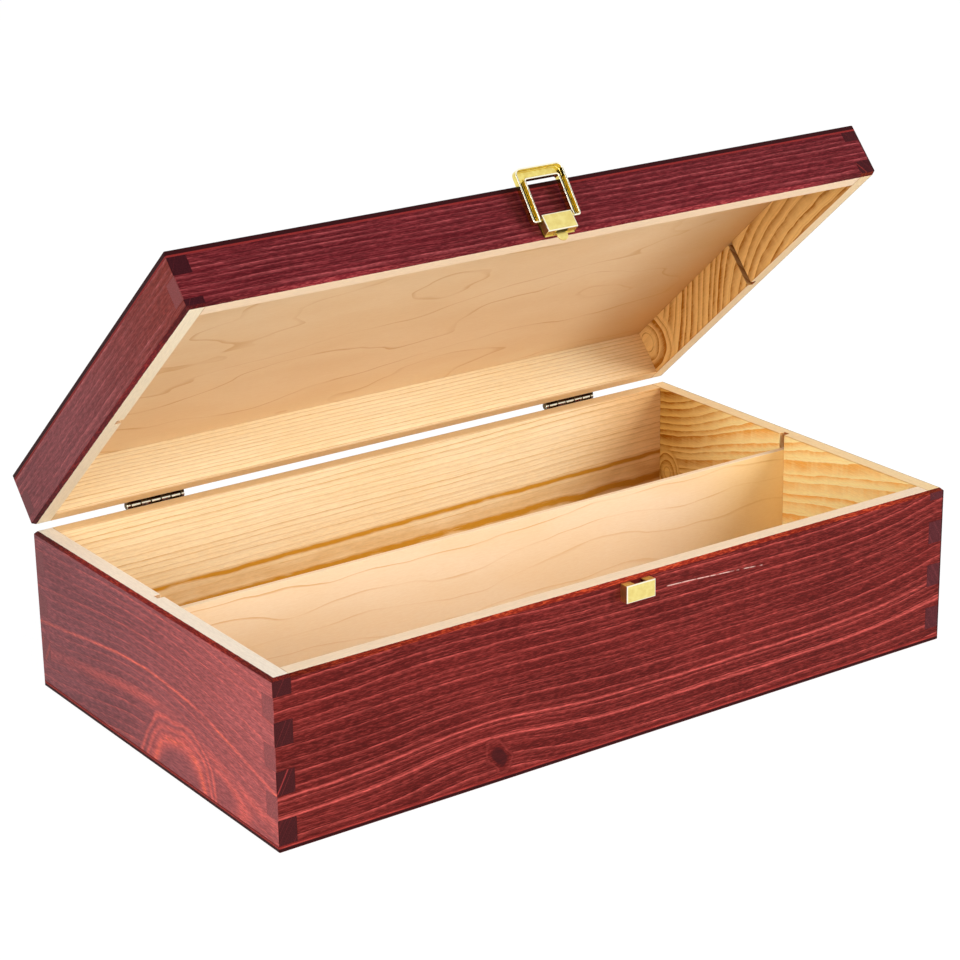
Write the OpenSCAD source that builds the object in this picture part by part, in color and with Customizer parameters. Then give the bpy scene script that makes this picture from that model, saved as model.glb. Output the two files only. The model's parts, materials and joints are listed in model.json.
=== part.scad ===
// Hinged wooden wine box for two bottles: finger-jointed pine boards, plywood
// bottom, top and divider, two butt hinges and a snap clasp on the front.
// Origin: centre of the underside. X runs along the front, Y to the back, Z up.

/* [Box] */
// Outside width, along the front
box_w = 350; // [280:1:420]
// Outside depth, front to back
box_d = 200; // [160:1:260]
// Height of the base, with its bottom panel
base_h = 73.5; // [60:0.5:110]
// Height of the lid, with its top panel
lid_h = 25.2; // [22:0.1:50]
// Thickness of the solid boards
wall_t = 8.4; // [7:0.1:12]
// Thickness of the bottom and top plywood panels
panel_t = 3.0; // [2.4:0.1:5]
// Chamfer round the outer edge of each rim
rim_chamfer = 1.5; // [0.5:0.1:2]
// Chamfer round the outer edge of the bottom and top panels
panel_chamfer = 0.5; // [0.2:0.1:1]
// Gap between the closed lid and the base
rim_gap = 0.3; // [0.2:0.1:0.6]
// Angle of the open lid, from closed
lid_open = 41.4; // [0:0.1:180]

/* [Corner joints] */
// Height of one finger
finger_h = 10.35; // [8:0.05:14]
// Top of the lowest finger of the left end board, above the underside
left_finger_top = 13.9; // [12:0.1:16]
// Top of the lowest finger of the right end board, above the underside
right_finger_top = 17.1; // [15:0.1:20]
// Height of the sawn finger of the left end board, above the lid's rim
left_lid_finger = 4.1; // [3:0.1:6]
// Height of the sawn finger of the right end board, above the lid's rim
right_lid_finger = 7.3; // [5:0.1:9]
// Smallest piece of finger that is kept
finger_min = 1.2; // [1:0.1:2]

/* [Divider] */
// Thickness of the plywood divider
divider_t = 3.0; // [2.4:0.1:5]
// Distance of the divider's top below the rim
divider_drop = 7.4; // [2:0.1:20]
// Distance of the divider behind the middle of the box
divider_shift = 0; // [-30:1:30]
// Depth of the divider's grooves in the end boards
groove_depth = 3.0; // [2:0.1:4]
// Clearance on each face of the divider in its grooves
divider_clearance = 0.15; // [0.05:0.05:0.3]
// Clearance at each end of the divider in its grooves
divider_end_clearance = 0.3; // [0.1:0.1:0.8]

/* [Hinges] */
// Middle of the left hinge, from the left end of the box
left_hinge_inset = 61.0; // [40:0.5:90]
// Middle of the right hinge, from the right end of the box
right_hinge_inset = 58.0; // [40:0.5:90]
// Length of a hinge along its pin
hinge_w = 28.8; // [24:0.2:40]
// Length of the two short end knuckles
end_knuckle_w = 1.8; // [1.4:0.1:3]
// Radius of the hinge pin
hinge_pin_r = 0.85; // [0.6:0.05:1.2]
// Length of the pin's rounded head outside each end knuckle
hinge_pin_head = 0.4; // [0.3:0.1:0.8]
// Thickness of the hinge's sheet
leaf_t = 0.9; // [0.6:0.1:1.2]
// Distance from the pin's axis to the far edge of a leaf
leaf_h = 11.0; // [9:0.1:14]
// Distance between the barrel and the back of the box
barrel_gap = 0.45; // [0.3:0.05:1]
// Radial clearance of the pin in the base leaf's knuckles
hinge_pin_clearance = 0.05; // [0.02:0.01:0.1]
// Gap between neighbouring knuckles
knuckle_gap = 0.3; // [0.1:0.05:0.4]
// Gap between a leaf's edge and the other leaf's knuckles
knuckle_clear = 0.4; // [0.3:0.1:0.8]

/* [Hinge screws] */
// Distance from the end of a leaf to a screw
screw_margin = 6.0; // [4:0.1:9]
// Radius of a screw's shank
screw_r = 0.8; // [0.5:0.05:1.1]
// Radius of a screw's head
screw_head_r = 1.6; // [1.3:0.1:2]
// Height of a screw's head above the leaf
screw_head_h = 0.6; // [0.4:0.1:0.9]
// Width of the slot in a screw's head
screw_slot_w = 0.4; // [0.3:0.05:0.6]
// Depth of the slot in a screw's head
screw_slot_depth = 0.3; // [0.2:0.05:0.35]
// Clearance of a screw's shank in the leaf
screw_clearance = 0.1; // [0.05:0.05:0.2]
// Wood left past a screw's tip
screw_cover = 1.8; // [1:0.1:3]

/* [Clasp] */
// Middle of the clasp, to the right of the middle of the box
clasp_shift = -0.6; // [-20:0.1:20]
// Width of the keeper and of the housing
clasp_w = 15.0; // [12:0.1:20]
// Thickness of the clasp's sheet
sheet_t = 0.6; // [0.4:0.1:0.8]
// Height of the keeper on the base
keeper_h = 7.8; // [6:0.1:10]
// Distance of the keeper's top below the base's rim
keeper_drop = 1.6; // [1.2:0.1:3]
// Distance that the keeper stands out of the front
keeper_depth = 4.4; // [4:0.1:5]
// Height of the housing on the lid
housing_h = 7.9; // [6.5:0.1:10]
// Distance of the housing's lower edge above the lid's rim
housing_rise = 0.65; // [0.5:0.05:2]
// Distance that the housing stands out of the front
housing_depth = 4.6; // [4.2:0.1:5.5]
// Gap between the two flaps of the keeper and of the housing
flap_gap = 6.2; // [5.6:0.1:8]
// Width of a prong
prong_w = 2.6; // [2:0.1:3.5]
// Wood left past a prong's tip
prong_cover = 2.4; // [1.5:0.1:3.5]

/* [Tongue] */
// Width of the tongue
tongue_w = 5.2; // [4:0.1:5.4]
// Distance that the tongue reaches below the lid's rim
tongue_reach = 3.3; // [2:0.1:4.5]
// Distance between the tongue and the front of the base
tongue_stand = 1.6; // [0.4:0.1:2]
// Width of the tongue's plate outside each side of the housing
plate_lip = 0.4; // [0.2:0.1:0.5]
// Clearance of a prong in the plate's slot
slot_clearance = 0.1; // [0.05:0.05:0.2]

/* [Clasp frame] */
// Gap between the frame's legs and the sides of the housing
frame_side_gap = 0.8; // [0.6:0.1:1.5]
// Width of the frame's channel along its legs
rail_w = 3.8; // [3:0.1:5]
// Width of the frame's channel along its bar
bar_w = 5.3; // [4:0.1:7]
// Depth of the frame's channel
rail_depth = 3.2; // [2.6:0.1:3.4]
// Thickness of the channel's walls
rail_wall = 0.7; // [0.5:0.1:0.9]
// Radius of the frame's outer corners
frame_corner_r = 3.0; // [2:0.1:3.5]
// Radius of the corners of the frame's opening
opening_corner_r = 0.8; // [0.4:0.1:1.5]
// Radius of the corners at the leg ends
leg_end_r = 1.2; // [0.9:0.1:1.4]
// Length of a leg past its pivot
heel = 1.3; // [1:0.1:1.5]
// Clearance between the closed frame's bar and the keeper
catch_clearance = 0.7; // [0.2:0.05:1]
// Angle of the raised frame off the front of the lid
frame_lean = 6; // [0:1:20]
// Radius of the clasp's pin
clasp_pin_r = 0.6; // [0.4:0.05:0.8]
// Radial clearance of the clasp's pin in the housing
clasp_pin_clearance = 0.05; // [0.02:0.01:0.1]
// Radius of the heads inside the legs
clasp_head_r = 1.0; // [0.9:0.05:1.1]
// Thickness of the heads inside the legs
clasp_head_t = 0.4; // [0.3:0.1:0.6]
// Distance between the pivot and the front of the lid
pivot_out = 2.5; // [2.4:0.1:2.8]

/* [Hidden] */
$fn = 48;

eps = 0.01;
reach_past = 2;
drill_length = 60;
middle_knuckles = 5;

stain = [0.40, 0.09, 0.08];
stain_dark = [0.30, 0.06, 0.06];
pine = [0.90, 0.76, 0.54];
birch = [0.93, 0.80, 0.60];
old_brass = [0.42, 0.33, 0.17];
brass = [0.88, 0.74, 0.36];

inner_w = box_w - 2 * wall_t;
inner_d = box_d - 2 * wall_t;
lid_z = base_h + rim_gap;
lid_top_z = lid_z + lid_h;

barrel_r = hinge_pin_r + leaf_t;
hinge_y = box_d / 2 + barrel_gap + barrel_r;
hinge_z = base_h + rim_gap / 2;
left_hinge_x = -box_w / 2 + left_hinge_inset;
right_hinge_x = box_w / 2 - right_hinge_inset;
leaf_edge = barrel_r + knuckle_clear;
leaf_back = -barrel_gap - barrel_r;
knuckle_w = (hinge_w - 2 * end_knuckle_w) / middle_knuckles;
screw_z = (leaf_edge + leaf_h) / 2;
screw_depth = wall_t - screw_cover;

keeper_z = base_h - keeper_drop - keeper_h;
housing_z = lid_z + housing_rise;
prong_depth = wall_t - prong_cover;
front_y = -box_d / 2;
pivot_y = front_y - pivot_out;
pivot_z = housing_z + housing_h - sheet_t - clasp_pin_clearance - clasp_pin_r;
frame_in = clasp_w / 2 + frame_side_gap;
frame_out = frame_in + rail_w;
frame_reach = pivot_z - keeper_z + catch_clearance;
frame_end = frame_reach + bar_w;
frame_raise = 180 - frame_lean;

// Heights where an end board's fingers show, from low to high
function snap(value, limit) = abs(value - limit) < finger_min ? limit : value;
function finger_spans(first_top, low, high) = [
    for (k = [0 : ceil((high - low) / (2 * finger_h))])
        let (top = first_top + 2 * k * finger_h)
        let (a = snap(max(low, top - finger_h), low))
        let (b = snap(min(high, top), high))
        if (b - a >= finger_min) [a, b]
];

base_left_spans = finger_spans(left_finger_top, panel_t, base_h);
base_right_spans = finger_spans(right_finger_top, panel_t, base_h);
lid_board_top = lid_top_z - panel_t;
lid_left_spans = finger_spans(lid_z + left_lid_finger, lid_z, lid_board_top);
lid_right_spans = finger_spans(lid_z + right_lid_finger, lid_z, lid_board_top);

// Outline of a block, chamfered at its lower and upper edges
module chamfered_outline(w, low, high, c_low, c_high) {
    polygon([
        [-w / 2 + c_low, low], [w / 2 - c_low, low], [w / 2, low + c_low], [w / 2, high - c_high],
        [w / 2 - c_high, high], [-w / 2 + c_high, high], [-w / 2, high - c_high], [-w / 2, low + c_low]
    ]);
}

// Block as wide and deep as the box, chamfered all round
module chamfered_block(low, high, c_low, c_high) {
    intersection() {
        translate([0, box_d / 2, 0]) rotate([90, 0, 0])
            linear_extrude(box_d) chamfered_outline(box_w, low, high, c_low, c_high);
        translate([-box_w / 2, 0, 0]) rotate([90, 0, 90])
            linear_extrude(box_w) chamfered_outline(box_d, low, high, c_low, c_high);
    }
}

module base_block() {
    chamfered_block(0, base_h, panel_chamfer, rim_chamfer);
}

module lid_block() {
    chamfered_block(lid_z, lid_top_z, rim_chamfer, panel_chamfer);
}

// Space of an end board: side is -1 at the left and 1 at the right
module end_space(side, spans, low, high) {
    x = side < 0 ? -box_w / 2 : box_w / 2 - wall_t;
    translate([x, -inner_d / 2, low]) cube([wall_t, inner_d, high - low]);
    for (span = spans)
        translate([x, -box_d / 2, span[0]]) cube([wall_t, box_d, span[1] - span[0]]);
}

// Space of a long board: side is -1 at the front and 1 at the back
module long_space(side, left_spans, right_spans, low, high) {
    y = side < 0 ? -box_d / 2 : box_d / 2 - wall_t;
    difference() {
        translate([-box_w / 2, y, low]) cube([box_w, wall_t, high - low]);
        end_space(-1, left_spans, low, high);
        end_space(1, right_spans, low, high);
    }
}

module base_end(side, spans) {
    intersection() {
        base_block();
        end_space(side, spans, panel_t, base_h);
    }
}

module base_long(side) {
    intersection() {
        base_block();
        long_space(side, base_left_spans, base_right_spans, panel_t, base_h);
    }
}

module lid_end(side, spans) {
    intersection() {
        lid_block();
        end_space(side, spans, lid_z, lid_board_top);
    }
}

module lid_long(side) {
    intersection() {
        lid_block();
        long_space(side, lid_left_spans, lid_right_spans, lid_z, lid_board_top);
    }
}

// Grooves for the divider in both end boards, between two heights
module divider_grooves(low, high) {
    groove_w = divider_t + 2 * divider_clearance;
    translate([-inner_w / 2 - groove_depth, divider_shift - groove_w / 2, low])
        cube([inner_w + 2 * groove_depth, groove_w, high - low]);
}

// Moves a closed lid's piece to the open lid
module open_lid() {
    translate([0, hinge_y, hinge_z]) rotate([-lid_open, 0, 0]) translate([0, -hinge_y, -hinge_z]) children();
}

// Swings the closed clasp frame up to its raised place on the lid
module raise_frame() {
    translate([0, pivot_y, pivot_z]) rotate([-frame_raise, 0, 0]) translate([0, -pivot_y, -pivot_z]) children();
}

// Rod along X, centred on its own middle
module rod_x(r, length) {
    rotate([0, 90, 0]) cylinder(r = r, h = length, center = true);
}

// Places a hinge's screws: side is -1 in the base and 1 in the lid
module at_hinge_screws(side) {
    for (x = [left_hinge_x, right_hinge_x])
        for (end = [-1, 1])
            translate([x + end * (hinge_w / 2 - screw_margin), box_d / 2, hinge_z + side * screw_z])
                children();
}

// Pilot holes for the hinge screws in a back board
module screw_pilots(side) {
    at_hinge_screws(side) rotate([90, 0, 0])
        translate([0, 0, -reach_past]) cylinder(r = screw_r, h = screw_depth + reach_past);
}

module hinge_screw() {
    rotate([90, 0, 0]) translate([0, 0, -leaf_t]) cylinder(r = screw_r, h = screw_depth + leaf_t);
    difference() {
        rotate([-90, 0, 0]) translate([0, 0, leaf_t])
            cylinder(r1 = screw_head_r, r2 = screw_head_r - screw_head_h / 2, h = screw_head_h);
        translate([-screw_head_r - eps, leaf_t + screw_head_h - screw_slot_depth, -screw_slot_w / 2])
            cube([2 * screw_head_r + 2 * eps, screw_slot_depth + eps, screw_slot_w]);
    }
}

// Start of a knuckle along the hinge, from the hinge's left end; knuckle 0 is the left one
function knuckle_x(k) = end_knuckle_w + (k - 1) * knuckle_w;

// One knuckle and the strip that joins it to its leaf, which lies below the pin
module knuckle(k) {
    left = k == 0 ? 0 : knuckle_x(k) + knuckle_gap / 2;
    right = k > middle_knuckles ? hinge_w : knuckle_x(k + 1) - knuckle_gap / 2;
    translate([left - hinge_w / 2, 0, 0]) rotate([90, 0, 90]) linear_extrude(right - left) {
        circle(r = barrel_r);
        translate([leaf_back, -leaf_edge - eps]) square([leaf_t, leaf_edge + eps]);
        translate([leaf_back, -leaf_t / 2]) square([-leaf_back, leaf_t / 2]);
    }
}

// A leaf below the pin, with its knuckles, bore and screw holes; the pin's axis is X
module leaf(knuckles, bore_r) {
    difference() {
        union() {
            translate([-hinge_w / 2, leaf_back, -leaf_h]) cube([hinge_w, leaf_t, leaf_h - leaf_edge]);
            for (k = knuckles) knuckle(k);
        }
        rod_x(bore_r, hinge_w + reach_past);
        for (end = [-1, 1])
            translate([end * (hinge_w / 2 - screw_margin), 0, -screw_z]) rotate([90, 0, 0])
                cylinder(r = screw_r + screw_clearance, h = drill_length, center = true);
    }
}

module base_leaf(x) {
    translate([x, hinge_y, hinge_z]) leaf([1 : 2 : middle_knuckles], hinge_pin_r + hinge_pin_clearance);
}

module lid_leaf(x) {
    translate([x, hinge_y, hinge_z]) mirror([0, 0, 1]) leaf([0 : 2 : middle_knuckles + 1], hinge_pin_r);
}

module hinge_pin(x) {
    translate([x, hinge_y, hinge_z]) {
        rod_x(hinge_pin_r, hinge_w);
        for (side = [-1, 1]) {
            translate([side * hinge_w / 2, 0, 0]) rotate([0, side * 90, 0])
                cylinder(r1 = barrel_r - leaf_t / 4, r2 = hinge_pin_r, h = hinge_pin_head);
        }
    }
}

// Folded sheet box, open at the back and between its two flaps at the top;
// seat is the distance of its back edges from the front of the wood
module folded_box(h, depth, seat) {
    translate([clasp_shift, front_y, 0]) difference() {
        translate([-clasp_w / 2, -depth, 0]) cube([clasp_w, depth - seat, h]);
        translate([-clasp_w / 2 + sheet_t, -depth + sheet_t, sheet_t])
            cube([clasp_w - 2 * sheet_t, depth, h - 2 * sheet_t]);
        translate([-flap_gap / 2, -depth + sheet_t, h / 2]) cube([flap_gap, depth, h]);
    }
}

// Prongs behind the two sides of a folded box, grown by a clearance
module prongs(middle_z, from_y, grow) {
    for (side = [-1, 1])
        translate([
            clasp_shift + side * (clasp_w - sheet_t) / 2 - sheet_t / 2 - grow,
            from_y, middle_z - prong_w / 2 - grow
        ])
            cube([sheet_t + 2 * grow, front_y + prong_depth - from_y, prong_w + 2 * grow]);
}

// Flat outline between two heights, with its own radius at the lower and upper corners
module rounded_outline(w, low, high, r_low, r_high) {
    translate([-w / 2 + r_low, low]) square([w - 2 * r_low, high - low - r_high]);
    translate([-w / 2 + r_high, low + r_low]) square([w - 2 * r_high, high - low - r_low]);
    translate([-w / 2, low + r_low]) square([w, high - low - r_low - r_high]);
    for (side = [-1, 1]) {
        translate([side * (w / 2 - r_low), low + r_low]) circle(r = r_low);
        translate([side * (w / 2 - r_high), high - r_high]) circle(r = r_high);
    }
}

// Outline of the clasp frame, hanging from its pivot at height 0, drawn in by a wall
module frame_outline(inset) {
    difference() {
        rounded_outline(2 * (frame_out - inset), inset - frame_end, heel - inset,
            frame_corner_r - inset, leg_end_r - inset);
        rounded_outline(2 * (frame_in + inset), -frame_reach - inset, heel + frame_end,
            opening_corner_r + inset, opening_corner_r);
    }
}

module base_bottom_panel() {
    color(stain_dark) intersection() {
        base_block();
        translate([-box_w / 2, -box_d / 2, 0]) cube([box_w, box_d, panel_t]);
    }
}

module base_front_board() {
    color(stain) difference() {
        base_long(-1);
        prongs(keeper_z + keeper_h / 2, front_y - reach_past, 0);
    }
}

module base_back_board() {
    color(stain) difference() {
        base_long(1);
        screw_pilots(-1);
    }
}

module base_left_board() {
    color(stain) difference() {
        base_end(-1, base_left_spans);
        divider_grooves(panel_t - eps, base_h + reach_past);
    }
}

module base_right_board() {
    color(stain) difference() {
        base_end(1, base_right_spans);
        divider_grooves(panel_t - eps, base_h + reach_past);
    }
}

module divider() {
    length = inner_w + 2 * (groove_depth - divider_end_clearance);
    color(birch) translate([-length / 2, divider_shift - divider_t / 2, panel_t])
        cube([length, divider_t, base_h - panel_t - divider_drop]);
}

module lid_top_panel() {
    color(stain_dark) open_lid() intersection() {
        lid_block();
        translate([-box_w / 2, -box_d / 2, lid_board_top]) cube([box_w, box_d, panel_t]);
    }
}

module lid_front_board() {
    color(stain) open_lid() difference() {
        lid_long(-1);
        prongs(housing_z + housing_h / 2, front_y - reach_past, 0);
    }
}

module lid_back_board() {
    color(stain) open_lid() difference() {
        lid_long(1);
        screw_pilots(1);
    }
}

module lid_left_board() {
    color(stain) open_lid() difference() {
        lid_end(-1, lid_left_spans);
        divider_grooves(lid_z - reach_past, lid_board_top + eps);
    }
}

module lid_right_board() {
    color(stain) open_lid() difference() {
        lid_end(1, lid_right_spans);
        divider_grooves(lid_z - reach_past, lid_board_top + eps);
    }
}

module left_hinge_base_leaf() {
    color(old_brass) base_leaf(left_hinge_x);
}

module left_hinge_lid_leaf() {
    color(old_brass) open_lid() lid_leaf(left_hinge_x);
}

module left_hinge_pin() {
    color(old_brass) open_lid() hinge_pin(left_hinge_x);
}

module right_hinge_base_leaf() {
    color(old_brass) base_leaf(right_hinge_x);
}

module right_hinge_lid_leaf() {
    color(old_brass) open_lid() lid_leaf(right_hinge_x);
}

module right_hinge_pin() {
    color(old_brass) open_lid() hinge_pin(right_hinge_x);
}

module base_hinge_screws() {
    color(old_brass) at_hinge_screws(-1) hinge_screw();
}

module lid_hinge_screws() {
    color(old_brass) open_lid() at_hinge_screws(1) hinge_screw();
}

module clasp_keeper() {
    color(brass) {
        translate([0, 0, keeper_z]) folded_box(keeper_h, keeper_depth, 0);
        prongs(keeper_z + keeper_h / 2, front_y - sheet_t, 0);
    }
}

module clasp_housing() {
    color(brass) open_lid() difference() {
        union() {
            translate([0, 0, housing_z + housing_h]) mirror([0, 0, 1])
                folded_box(housing_h, housing_depth, sheet_t);
            prongs(housing_z + housing_h / 2, front_y - 2 * sheet_t, 0);
        }
        translate([clasp_shift, pivot_y, pivot_z]) rod_x(clasp_pin_r + clasp_pin_clearance, drill_length);
    }
}

module clasp_tongue() {
    tip_z = lid_z - tongue_reach;
    color(brass) open_lid() difference() {
        union() {
            translate([clasp_shift - clasp_w / 2 - plate_lip, front_y - sheet_t, housing_z - plate_lip])
                cube([clasp_w + 2 * plate_lip, sheet_t, housing_h + 2 * plate_lip]);
            translate([clasp_shift, front_y - tongue_stand, 0]) rotate([90, 0, 0])
                linear_extrude(sheet_t) {
                    translate([-tongue_w / 2, tip_z + tongue_w / 2])
                        square([tongue_w, housing_z + housing_h / 2 - tip_z - tongue_w / 2]);
                    translate([0, tip_z + tongue_w / 2]) circle(r = tongue_w / 2);
                }
            translate([clasp_shift - tongue_w / 2, front_y - tongue_stand, lid_z + housing_rise])
                cube([tongue_w, tongue_stand, housing_h / 2]);
        }
        prongs(housing_z + housing_h / 2, front_y - reach_past, slot_clearance);
    }
}

module clasp_frame() {
    color(brass) open_lid() raise_frame() translate([clasp_shift, pivot_y, pivot_z]) difference() {
        translate([0, rail_depth / 2, 0]) rotate([90, 0, 0]) linear_extrude(rail_depth) frame_outline(0);
        translate([0, rail_depth / 2 + eps, 0]) rotate([90, 0, 0])
            linear_extrude(rail_depth - rail_wall + eps) frame_outline(rail_wall);
        rod_x(clasp_pin_r, 2 * (frame_in + rail_wall) + eps);
    }
}

module clasp_pin() {
    color(brass) open_lid() translate([clasp_shift, pivot_y, pivot_z]) {
        rod_x(clasp_pin_r, 2 * (frame_in + rail_wall));
        for (side = [-1, 1])
            translate([side * (frame_in + rail_wall + clasp_head_t / 2), 0, 0]) rod_x(clasp_head_r, clasp_head_t);
    }
}

base_bottom_panel();
base_front_board();
base_back_board();
base_left_board();
base_right_board();
divider();
lid_top_panel();
lid_front_board();
lid_back_board();
lid_left_board();
lid_right_board();
left_hinge_base_leaf();
left_hinge_lid_leaf();
left_hinge_pin();
right_hinge_base_leaf();
right_hinge_lid_leaf();
right_hinge_pin();
base_hinge_screws();
lid_hinge_screws();
clasp_keeper();
clasp_housing();
clasp_tongue();
clasp_frame();
clasp_pin();
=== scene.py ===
"""Looks of an open wooden wine box: stained pine boards, plywood panels, brass hinges and a snap clasp.

Sizes in the classes are millimetres of the closed box. X runs along the front, Y to the back and Z up.
"""

import json
import logging
import math
from collections.abc import Callable
from dataclasses import dataclass
from enum import Enum

import bpy
from mathutils import Matrix, Vector

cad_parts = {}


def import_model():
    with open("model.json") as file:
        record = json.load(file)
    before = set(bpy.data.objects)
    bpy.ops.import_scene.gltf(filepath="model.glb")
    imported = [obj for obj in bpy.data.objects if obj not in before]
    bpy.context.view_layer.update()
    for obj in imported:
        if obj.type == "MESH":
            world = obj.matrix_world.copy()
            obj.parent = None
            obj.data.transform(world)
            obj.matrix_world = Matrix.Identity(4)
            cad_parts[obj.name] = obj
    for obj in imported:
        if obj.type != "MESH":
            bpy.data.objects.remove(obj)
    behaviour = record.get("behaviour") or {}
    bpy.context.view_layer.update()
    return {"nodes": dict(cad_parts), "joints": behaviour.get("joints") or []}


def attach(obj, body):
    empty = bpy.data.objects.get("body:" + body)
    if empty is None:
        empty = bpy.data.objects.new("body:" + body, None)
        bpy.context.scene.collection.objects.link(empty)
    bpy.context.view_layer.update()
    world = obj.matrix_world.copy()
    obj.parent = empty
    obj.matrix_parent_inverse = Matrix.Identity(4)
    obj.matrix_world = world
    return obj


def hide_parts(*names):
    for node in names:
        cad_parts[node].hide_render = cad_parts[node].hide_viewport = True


LOG = logging.getLogger("wine_box")
MM = 0.001
NEAR = 0.05  # millimetres within which a point lies on a face
MERGED = 0.002 * MM  # distance within which a mesh's points are one
FLAT, SHARP, SMOOTH = (math.radians(angle) for angle in (0.5, 24, 40))  # angles between faces
SEED_STEP = 131.0  # millimetres from one seed's noise to the next
NOISE_STEP = (7.13, 3.71, 5.37)  # units from one numbered noise to the next
Colour = tuple[float, float, float]


@dataclass(frozen=True)
class Box:
    """Sizes of the closed box: its outside, the faces inside it and the gap between its two rims."""

    half_width: float = 175.0
    half_depth: float = 100.0
    height: float = 99.0
    inner_end: float = 166.6
    shut: float = 73.65
    half_gap: float = 0.15
    chamfer: float = 1.5
    groove_depth: float = 3.0
    divider_top: float = 66.0
    clasp_x: float = -0.6


BOX = Box()


class Grain(Enum):
    """Way that a board's fibres run."""

    ALONG_FRONT = 0
    ALONG_SIDE = 1


class Slot(Enum):
    """Finish that a piece takes in the record."""

    PINE = "stained_pine"
    PLYWOOD = "stained_plywood"
    BIRCH = "birch_plywood"
    HINGE = "antique_brass"
    SHEET = "satin_brass"
    FRAME = "polished_brass"


def seen(red: float, green: float, blue: float) -> Colour:
    """Turns a colour as a screen shows it, 0 to 255, into the amounts of light that it stands for."""
    return tuple(
        v / 12.92 if v <= 0.04045 else ((v + 0.055) / 1.055) ** 2.4
        for v in (red / 255, green / 255, blue / 255)
    )


# ---------------------------------------------------------------- recipes


class Amount:
    """A number that varies over a surface, with the usual sums."""

    def __init__(self, recipe: "Recipe", socket: bpy.types.NodeSocket) -> None:
        """Keeps the recipe and the socket that gives the number."""
        self.recipe = recipe
        self.socket = socket

    def __add__(self, other: "Amount | float") -> "Amount":
        """Sum."""
        return self.recipe.calc("ADD", self, other)

    def __sub__(self, other: "Amount | float") -> "Amount":
        """Difference."""
        return self.recipe.calc("SUBTRACT", self, other)

    def __mul__(self, other: "Amount | float") -> "Amount":
        """Product."""
        return self.recipe.calc("MULTIPLY", self, other)

    def __truediv__(self, other: "Amount | float") -> "Amount":
        """Quotient."""
        return self.recipe.calc("DIVIDE", self, other)

    def __pow__(self, other: "Amount | float") -> "Amount":
        """Power."""
        return self.recipe.calc("POWER", self, other)

    def __neg__(self) -> "Amount":
        """The number with its sign turned."""
        return self.recipe.calc("MULTIPLY", self, -1.0)

    def __abs__(self) -> "Amount":
        """Size without sign."""
        return self.recipe.calc("ABSOLUTE", self)

    def least(self, other: "Amount | float") -> "Amount":
        """Smaller of two."""
        return self.recipe.calc("MINIMUM", self, other)

    def most(self, other: "Amount | float") -> "Amount":
        """Larger of two."""
        return self.recipe.calc("MAXIMUM", self, other)

    def bell(self) -> "Amount":
        """A bell curve, 1 at zero and near 0 past two."""
        return self.recipe.calc("EXPONENT", -(self * self))

    def rise(self, low: float, high: float, start: float = 0.0, end: float = 1.0) -> "Amount":
        """Soft step from one level to another.

        Args:
            low: where the step starts.
            high: where it ends.
            start: level before it.
            end: level after it.

        Returns:
            The stepped number.
        """
        node = self.recipe.step("ShaderNodeMapRange", interpolation_type="SMOOTHSTEP")
        for name, value in zip(
            ("Value", "From Min", "From Max", "To Min", "To Max"), (self, low, high, start, end)
        ):
            self.recipe.feed(node.inputs[name], value)
        return Amount(self.recipe, node.outputs["Result"])

    def fall(self, low: float, high: float) -> "Amount":
        """Soft step from 1 down to 0."""
        return self.rise(low, high, 1.0, 0.0)


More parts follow.
